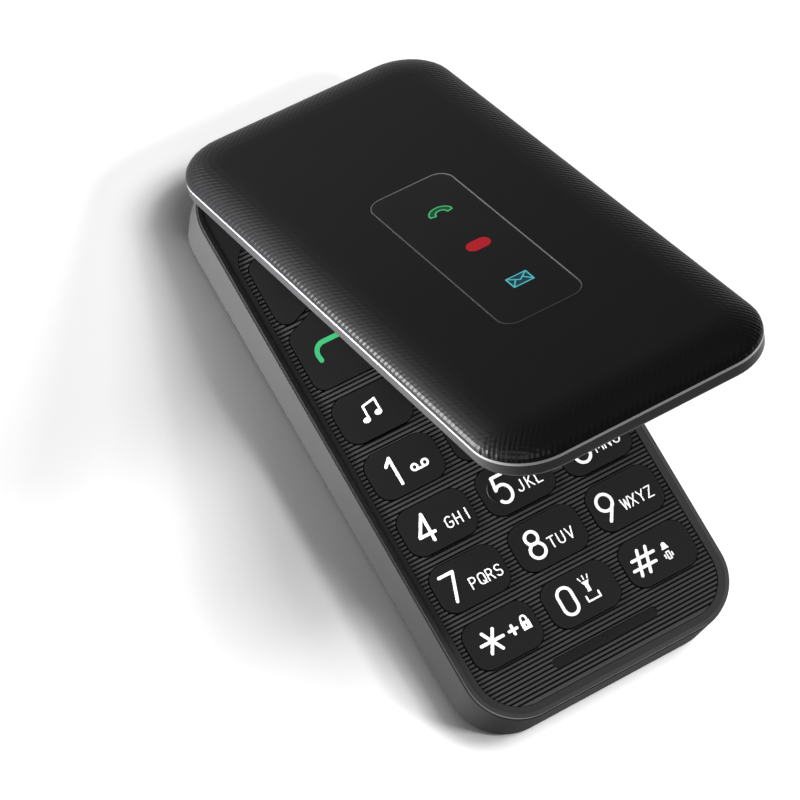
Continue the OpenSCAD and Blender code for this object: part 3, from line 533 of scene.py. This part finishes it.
class PHONE_OT_indicator(bpy.types.Operator):
    """Make the indicator window, the painted highlight line round it and its three lit symbols"""
    bl_idname = "phone.indicator"
    bl_label = "Indicator Window"
    bl_options = {"REGISTER", "UNDO"}

    def execute(self, context):
        low, high = closed_box("indicator_window")
        x, y, z = (low.x + high.x) / 2, (low.y + high.y) / 2, high.z
        # Smoked polycarbonate: a little darker and glossier than the lacquer around it
        dress(["indicator_window"], moulded("polycarbonate_smoked_window", linear("#0b0b0c"), 0.3, 1.2, 0.002, 0.12))
        self.outline(x, y, z, high.x - x, high.y - y)
        self.symbols(z)
        return {"FINISHED"}

    def outline(self, x, y, z, half_w, half_l):
        """The line is a painted highlight along the window's bevelled edge: it is painted dark towards the lid's free
        end and brighter towards the +X side.
        """
        r, inset = 3 * MM, sizes().window_highlight_line / 2
        w, l = half_w - inset, half_l - inset
        corner = [(1, 1, 90, 0), (1, -1, 0, -90), (-1, -1, 270, 180), (-1, 1, 180, 90)]
        points = [p for sx, sy, a, b in corner for p in arc(x + sx * (w - r), y + sy * (l - r), r, r, a, b)]
        ink = Print(z)
        ink.stroke(points + points[:1], sizes().window_highlight_line)
        material, shader = new_material("painted_highlight_window_line", Roughness=0.4)
        place = add_node(material, "TexCoord").outputs["Object"]
        span = add_node(material, "SeparateXYZ", [("Vector", place)]).outputs
        high = (LID @ Vector((0, y - half_l + 6 * MM, z))).z
        end = (LID @ Vector((0, y - half_l, z))).z
        # Painted highlight: the line's grey brightens away from the free end and towards +X
        painted_light_fade = add_node(material, "MapRange", [("Value", span["Z"])], [("From Min", end), ("From Max", high)])
        side = add_node(material, "MapRange", [("Value", span["X"])],
                        [("From Min", -half_w), ("From Max", half_w), ("To Min", 0.35)])
        painted_highlight_share = add_node(material, "Math", [(0, painted_light_fade.outputs["Result"]), (1, side.outputs["Result"])],
                          operation="MULTIPLY")
        mix = add_node(material, "Mix", [("Factor", painted_highlight_share.outputs["Value"])], data_type="RGBA")
        mix.inputs["A"].default_value = (*linear("#161617"), 1)
        mix.inputs["B"].default_value = (*linear("#525253"), 1)
        wire(material, shader, "Base Color", mix.outputs["Result"])
        ink.make("window_highlight_line", "lid", material, LID)

    def symbols(self, z):
        """Each symbol is a lit fill with a brighter line round it."""
        line, fill_height = 0.26 * MM, 0.02 * MM
        x = 0.9 * MM
        battery = arc(-0.95, 0, 1.25, 1.3, 90, 270) + arc(0.95, 0, 1.25, 1.3, -90, 90)
        letter = [(-2, -1.4), (2, -1.4), (2, 1.4), (-2, 1.4)]
        flap = [[(-2, 1.4), (0, -0.2), (2, 1.4)], [(-2, -1.4), (-0.7, 0.35)], [(2, -1.4), (0.7, 0.35)]]
        shapes = (("call", 8.1, RECEIVER, [], colours().call, "#0c4a24"),
                  ("battery", -5.4, battery, [], colours().alert, "#a80418"),
                  ("message", -18.9, letter, flap, colours().message, "#023642"))
        for name, y, outline, extra, tint, fill_tint in shapes:
            fill = Print(z, fill_height)
            fill.plate(shifted(outline, x, y * MM))
            fill.make("symbol_" + name + "_fill", "lid", lit("lit_" + name + "_fill", linear(fill_tint), 1), LID)
            edge = Print(z)
            for points in [outline + outline[:1], *extra]:
                edge.stroke(shifted(points, x, y * MM), line)
            edge.make("symbol_" + name, "lid", lit("lit_" + name, tint, 0.8), LID)


def receiver():
    """Closed outline of a telephone receiver that lies like a bridge."""
    outer = arc(0, -1.1, 2.3, 2.0, 165, 15)
    inner = arc(0, -1.2, 1.15, 1.0, 20, 160)
    return outer + [(2.2, -1.15), (1.2, -1.35)] + inner + [(-1.2, -1.35), (-2.2, -1.15)]


RECEIVER = receiver()


def lit(name, tint, power):
    """An emissive symbol. On the indicator a light-emitting diode shines through it; on the call and end keys its
    glow is painted light. Its colour holds in shade.
    """
    material, shader = new_material(name, Base_Color=linear("#080808"), Roughness=0.6, Emission_Color=tint,
                                    Specular_IOR_Level=0.1)
    glow = speckle(material, 1.5 * MM, power * 0.9, power * 1.1)
    wire(material, shader, "Emission Strength", glow.outputs["Result"])
    return material


def ink_print(name, tint):
    """Screen-printed ink: flat, dense and a little duller than the plastic under it."""
    material, shader = new_material(name, Roughness=0.5, IOR=1.45)
    tinted(material, shader, tint, 0.95, 1.0, 3 * MM)
    return material


class PHONE_OT_base_shells(bpy.types.Operator):
    """Finish the rear housing, bezel, trim ring and battery cover"""
    bl_idname = "phone.base_shells"
    bl_label = "Base Shells"
    bl_options = {"REGISTER", "UNDO"}

    def execute(self, context):
        dress(["rear_housing"], painted_wall("matt_paint_housing", colours().wall, 0.6))
        dress(["battery_cover"], painted_wall("matt_paint_battery_cover", colours().wall, 0.65))
        dress(["front_housing"], moulded("abs_polished_black_bezel", colours().shell, 0.22, 1.5, 0.003))
        dress(["trim_ring"], metal("metallised_satin_base_trim", colours().base_trim, 0.3, 0.5))
        return {"FINISHED"}


def painted_wall(name, tint, roughness):
    """Matt paint on plastic: an even grey with fine flakes and little sheen."""
    material, shader = new_material(name, Roughness=roughness, IOR=1.45, Specular_IOR_Level=0.03)
    tinted(material, shader, tint, 0.94, 1.06, 5 * MM)
    flakes = speckle(material, 0.25 * MM, 0, 1)
    bump(material, shader, flakes.outputs["Result"], 0.004 * MM, 0.5)
    return material


def ribbed_plate():
    """Matt moulded plate with painted shade in its recesses. By height, the grooves are painted near black and the
    slot's floor a little less dark, the crests keep the plate's colour, and the grooves also reflect less.
    """
    material, shader = new_material("abs_matt_ribbed_plate", Roughness=0.45, IOR=1.5)
    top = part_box("keypad_plate")[1].z
    place = add_node(material, "TexCoord").outputs["Object"]
    height = add_node(material, "SeparateXYZ", [("Vector", place)]).outputs["Z"]
    # Painted shade: how deep a point lies sets how dark it is painted
    rib_depth_shade = add_node(material, "MapRange", [("Value", height)],
                   [("From Min", top - 0.24 * MM), ("From Max", top - 0.08 * MM)]).outputs["Result"]
    slot_depth_shade = add_node(material, "MapRange", [("Value", height)],
                    [("From Min", top - 0.44 * MM), ("From Max", top - 0.34 * MM), ("To Min", 0.28), ("To Max", 0)])
    painted_groove_shade_mask = add_node(material, "Math", [(0, rib_depth_shade), (1, slot_depth_shade.outputs["Result"])], operation="MAXIMUM").outputs["Value"]
    # A is the painted shade of the recesses, B is the plate's own colour
    mix = add_node(material, "Mix", [("Factor", painted_groove_shade_mask)], data_type="RGBA")
    mix.inputs["A"].default_value = (*linear("#0e0e0f"), 1)
    mix.inputs["B"].default_value = (*colours().plate, 1)
    wire(material, shader, "Base Color", mix.outputs["Result"])
    gloss = add_node(material, "MapRange", [("Value", painted_groove_shade_mask)], [("To Min", 0.03), ("To Max", 0.25)])
    wire(material, shader, "Specular IOR Level", gloss.outputs["Result"])
    return material


def coated_key():
    """Coated polycarbonate: an even dull face, with painted shade on every part that turns away from facing up, so
    the rounded edges and sides are painted dark.
    """
    material = moulded("polycarbonate_coated_key", colours().key, 0.45, 0.3, 0.004, 0.22)
    shader = material.node_tree.nodes["Principled BSDF"]
    face = shader.inputs["Base Color"].links[0].from_socket
    # Painted shade: the colour darkens as the surface turns away from facing up
    normal = add_node(material, "TexCoord").outputs["Normal"]
    up = add_node(material, "SeparateXYZ", [("Vector", normal)]).outputs["Z"]
    painted_side_shade = add_node(material, "MapRange", [("Value", up)], [("From Min", 0.8), ("From Max", 0.97), ("To Min", 0.15)])
    side_shaded_face = add_node(material, "VectorMath", [(0, face), ("Scale", painted_side_shade.outputs["Result"])], operation="SCALE")
    wire(material, shader, "Base Color", side_shaded_face.outputs["Vector"])
    return material


class PHONE_OT_keypad(bpy.types.Operator):
    """Finish the keypad plate and every key"""
    bl_idname = "phone.keypad"
    bl_label = "Keypad"
    bl_options = {"REGISTER", "UNDO"}

    def execute(self, context):
        dress(["keypad_plate"], ribbed_plate())
        keys = [n for n in frame["nodes"] if n.startswith("key_") or n.endswith("_key")
                or n in ("soft_key_left", "soft_key_right", "nav_ring")]
        dress(keys, coated_key())
        return {"FINISHED"}


class PHONE_OT_legends(bpy.types.Operator):
    """Print the legends on the keys"""
    bl_idname = "phone.legends"
    bl_label = "Key Legends"
    bl_options = {"REGISTER", "UNDO"}

    def execute(self, context):
        white = ink_print("legend_ink_white", colours().legend)
        extras = {"key_1": voicemail, "key_star": plus_lock, "key_0": torch_space, "key_hash": silent_mode}
        for node in LEGENDS:
            ink, x, y = legend(node)
            if node in extras:
                extras[node](ink, x, y)
            ink.make("legend_" + node, node, white)
        for node in ("key_music", "key_clear", "key_message"):
            x, y, z = key_place(node)
            ink = Print(z)
            if node == "key_music":
                music_note(ink, x, y)
            elif node == "key_message":
                envelope(ink, x, y, 2.1, 1.45, 0.4 * MM)
            else:
                ink.glyph("C", x - 0.9 * MM, y - 1.5 * MM, 3 * MM, 0.45 * MM)
            ink.make("legend_" + node, node, white)
        # The call and end symbols get a painted glow, so that their colour holds in shade
        for node, name, tint, side in (("call_key", "painted_glow_legend_green", colours().call, 1),
                                       ("end_key", "painted_glow_legend_red", colours().end, -1)):
            x, y, z = key_place(node)
            ink = Print(z)
            handset_arch(ink, -side * HANDSET_X * MM, HANDSET_Y * MM, 4.6, 0.95 * MM)
            ink.make("legend_" + node, node, lit(name, tint, 0.9))
        for node in ("soft_key_left", "soft_key_right"):
            x, y, z = key_place(node)
            ink = Print(z)
            ink.stroke([(x - 2 * MM, y + 2 * MM), (x + 2 * MM, y + 2 * MM)], 0.6 * MM)
            ink.make("legend_" + node, node, white)
        self.rocker(white)
        return {"FINISHED"}

    def rocker(self, white):
        """Four arrowheads on the ring and a plain word on the middle key."""
        x, y, z = key_place("nav_ring")
        ink = Print(z)
        for quarter in range(4):
            a = radians(90 * quarter)
            head = [(9.4, 0.9), (10.3, 0), (9.4, -0.9)]
            turned = [(px * cos(a) - py * sin(a), px * sin(a) + py * cos(a)) for px, py in head]
            ink.stroke(shifted(turned, x, y), 0.4 * MM)
        ink.make("legend_nav_ring", "nav_ring", white)
        x, y, z = key_place("ok_key")
        ink = Print(z)
        ink.word("OK", x - 2.1 * MM, y - 1.35 * MM, 2.7 * MM, 0.45 * MM, 2.4 * MM)
        ink.make("legend_ok_key", "ok_key", white)


class PHONE_OT_display(bpy.types.Operator):
    """Finish the display and the earpiece inside the lid"""
    bl_idname = "phone.display"
    bl_label = "Display"
    bl_options = {"REGISTER", "UNDO"}

    def execute(self, context):
        # Hard-coated acrylic, printed black on its back: a deep gloss with the screen a shade lighter
        material, shader = new_material("acrylic_hardcoat_lens", Roughness=0.06, IOR=1.49, Coat_Weight=0.5)
        tinted(material, shader, linear("#060607"), 0.8, 1.2, 20 * MM)
        dress(["display_lens"], material)
        panel, shader = new_material("liquid_crystal_panel", Roughness=0.3)
        tinted(panel, shader, linear("#14181c"), 0.9, 1.1, 10 * MM)
        dress(["display_panel"], panel)
        dress(["earpiece"], metal("stamped_steel_earpiece", linear("#8d8f92"), 0.4, 0.6))
        dress(["earpiece_mesh"], woven_mesh())
        return {"FINISHED"}


def woven_mesh():
    """Woven acoustic mesh: dark, with a fine square weave."""
    material, shader = new_material("woven_polyester_mesh", Roughness=0.7)
    tinted(material, shader, linear("#202124"), 0.8, 1.2, 1 * MM)
    threads = add_node(material, "Math", [(i, lane) for i, lane in enumerate(diagonal_strokes(material, 0.3 * MM))],
                       operation="ADD")
    bump(material, shader, threads.outputs["Value"], 0.05 * MM, 0.8)
    return material


class PHONE_OT_inner_parts(bpy.types.Operator):
    """Finish the boards, battery, sockets and small parts inside both halves"""
    bl_idname = "phone.inner_parts"
    bl_label = "Inner Parts"
    bl_options = {"REGISTER", "UNDO"}

    def execute(self, context):
        dress(["main_board", "lid_board"], solder_mask())
        dress(["battery"], moulded("shrink_wrap_battery", linear("#39424b"), 0.5, 1.0, 0.01))
        dress(["dome_sheet"], metal("dome_foil_steel", linear("#9fa2a6"), 0.35, 0.8))
        dress(["shield_can", "sim_holder", "usb_socket", "vibration_motor"],
              metal("tinned_steel_small_parts", linear("#b4b6b8"), 0.32, 0.6))
        dress(["loudspeaker", "camera_module", "headphone_socket", "microphone"],
              moulded("nylon_moulded_black", linear("#1d1d1e"), 0.5, 0.3, 0.008))
        dress(["housing_screws", "lid_screws"], metal("zinc_plated_screws", linear("#a7a9ab"), 0.3, 0.4))
        dress(["hinge_shaft", "hinge_pin", "hinge_can", "hinge_follower", "hinge_spring"],
              metal("hardened_steel_hinge", linear("#8f9194"), 0.28, 0.4))
        return {"FINISHED"}


def solder_mask():
    """Solder mask over copper: green, with the gloss of lacquer and a colour that wanders in patches."""
    material, shader = new_material("solder_mask_green", Roughness=0.35, Coat_Weight=0.4)
    tinted(material, shader, linear("#1f5a36"), 0.75, 1.2, 3 * MM)
    return material


class PHONE_OT_lenses(bpy.types.Operator):
    """Finish the camera window, torch lens and indicator light guides"""
    bl_idname = "phone.lenses"
    bl_label = "Small Lenses"
    bl_options = {"REGISTER", "UNDO"}

    def execute(self, context):
        material, shader = new_material("acrylic_camera_window", Roughness=0.05, IOR=1.49, Coat_Weight=0.6)
        tinted(material, shader, linear("#08080a"), 0.8, 1.2, 2 * MM)
        dress(["camera_window"], material)
        guide, shader = new_material("polycarbonate_diffuser", Roughness=0.35, IOR=1.58, Transmission_Weight=0.5)
        tinted(guide, shader, linear("#f0f1ea"), 0.95, 1.0, 2 * MM)
        dress(["torch_lens", "indicator_leds"], guide)
        return {"FINISHED"}


# ---------- Stage ----------

FLOOR_HALF = 3
CAMERA_PLACE = (-0.217925, -0.114162, 0.601042)
CAMERA_TURN = (18.9617, -11.4473, -30.243)
CAMERA_LENS = 155.439

# Name, place, what it points at, size in metres, and power in watts.
# The floor's lights stand in a fan, so that their shadows overlap near the phone and fade to the left
FLOOR_LIGHTS = (
    ("floor_light_low", (0.478, -0.43, 0.766), (0, 0, 0), (0.15, 0.15), 3.8),
    ("floor_light_mid", (0.382, -0.139, 0.914), (0, 0, 0), (0.2, 0.2), 2.4),
    ("floor_light_high", (0.276, 0.0, 0.961), (0, 0, 0), (0.25, 0.25), 4.4),
    ("floor_light_top", (0.12, 0.07, 0.99), (0, 0, 0), (0.3, 0.3), 1.8))
# The top light is soft, the print light brings out the legends, the back strip lights the lid's rim, and
# the left fill lights the left wall. The last is low and close, and is the likely cause of a glare that is seen
# from the right at a low angle
PHONE_LIGHTS = (
    ("top_light", (0.45, 0.28, 0.85), (0, 0, 0), (0.7, 0.7), 1.2),
    ("print_light", (-0.5, -0.12, 0.8), (0, 0, 0), (0.5, 0.5), 10),
    ("back_strip", (-0.27, 0.42, 0.06), (0, 0, 0.05), (0.5, 0.14), 3),
    ("left_fill", (-0.13, 0.05, 0.025), (-0.03, 0.03, 0.007), (0.08, 0.04), 1.5))


def area_light(name, place, target, size, power, receivers):
    data = bpy.data.lights.new(name, "AREA")
    data.shape, data.size, data.size_y, data.energy = "RECTANGLE", size[0], size[1], power
    light = bpy.data.objects.new(name, data)
    light.location = place
    light.rotation_euler = (Vector(target) - Vector(place)).to_track_quat("-Z", "Y").to_euler()
    light.light_linking.receiver_collection = receivers
    light.visible_camera = False
    bpy.context.scene.collection.objects.link(light)


def receivers(name, floor, state):
    """Which objects a light falls on: the floor alone ("INCLUDE"), or all but the floor ("EXCLUDE")."""
    group = bpy.data.collections.new(name)
    group.objects.link(floor)
    group.collection_objects[0].light_linking.link_state = state
    return group


class PHONE_OT_stage(bpy.types.Operator):
    """Make the floor, the studio lights and the camera"""
    bl_idname = "phone.stage"
    bl_label = "Stage"
    bl_options = {"REGISTER", "UNDO"}

    def execute(self, context):
        self.lights(context.scene, self.floor())
        data = bpy.data.cameras.new("camera")
        data.lens, data.sensor_width = CAMERA_LENS, 36
        camera = bpy.data.objects.new("camera", data)
        camera.location = CAMERA_PLACE
        camera.rotation_euler = [radians(a) for a in CAMERA_TURN]
        context.scene.collection.objects.link(camera)
        context.scene.camera = camera
        return {"FINISHED"}

    def floor(self):
        half = FLOOR_HALF
        data = bpy.data.meshes.new("floor")
        data.from_pydata([(-half, -half, 0), (half, -half, 0), (half, half, 0), (-half, half, 0)], [], [(0, 1, 2, 3)])
        # White paper with a painted falloff of light: its colour darkens away from the phone
        material, shader = new_material("studio_paper", Roughness=0.9, Specular_IOR_Level=0.2)
        place = add_node(material, "TexCoord").outputs["Object"]
        far = add_node(material, "VectorMath", [(0, place)], operation="LENGTH").outputs["Value"]
        painted_light_fade = add_node(material, "MapRange", [("Value", far)],
                        [("From Min", 0.25), ("From Max", 1.2), ("To Min", 1.0), ("To Max", 0.45)])
        shade = add_node(material, "VectorMath", [("Scale", painted_light_fade.outputs["Result"])], operation="SCALE")
        shade.inputs[0].default_value = colours().floor
        wire(material, shader, "Base Color", shade.outputs["Vector"])
        data.materials.append(material)
        floor = bpy.data.objects.new("floor", data)
        floor.location.z = cad_box[0].z
        bpy.context.scene.collection.objects.link(floor)
        return floor

    def lights(self, scene, floor):
        world = bpy.data.worlds.new("studio")
        world.use_nodes = True
        world.node_tree.nodes["Background"].inputs["Color"].default_value = (1, 1, 1, 1)
        world.node_tree.nodes["Background"].inputs["Strength"].default_value = 0.16
        scene.world = world
        scene.view_settings.view_transform = "Standard"
        on_floor, on_phone = receivers("floor_only", floor, "INCLUDE"), receivers("phone_only", floor, "EXCLUDE")
        for row in FLOOR_LIGHTS:
            area_light(*row, on_floor)
        for row in PHONE_LIGHTS:
            area_light(*row, on_phone)


# ---------- Panel and registration ----------

STEPS = (PHONE_OT_lid_shells, PHONE_OT_indicator, PHONE_OT_base_shells, PHONE_OT_keypad, PHONE_OT_legends,
         PHONE_OT_display, PHONE_OT_inner_parts, PHONE_OT_lenses, PHONE_OT_stage)


class PHONE_PT_finish(bpy.types.Panel):
    """Lists the steps that dress the phone, with its colours and sizes"""
    bl_label = "Flip Phone"
    bl_idname = "PHONE_PT_finish"
    bl_space_type = "VIEW_3D"
    bl_region_type = "UI"
    bl_category = "Flip Phone"

    def draw(self, context):
        for step in STEPS:
            self.layout.operator(step.bl_idname)
        for group in (context.scene.phone_colours, context.scene.phone_sizes):
            for key in group.__annotations__:
                self.layout.prop(group, key)


CLASSES = (PhoneColours, PhoneSizes, *STEPS, PHONE_PT_finish)


def register():
    for cls in CLASSES:
        bpy.utils.register_class(cls)
    bpy.types.Scene.phone_colours = bpy.props.PointerProperty(type=PhoneColours)
    bpy.types.Scene.phone_sizes = bpy.props.PointerProperty(type=PhoneSizes)


def unregister():
    del bpy.types.Scene.phone_sizes
    del bpy.types.Scene.phone_colours
    for cls in reversed(CLASSES):
        bpy.utils.unregister_class(cls)


def main():
    register()
    for step in STEPS:
        group, name = step.bl_idname.split(".")
        getattr(getattr(bpy.ops, group), name)()


if __name__ == "__main__":
    main()
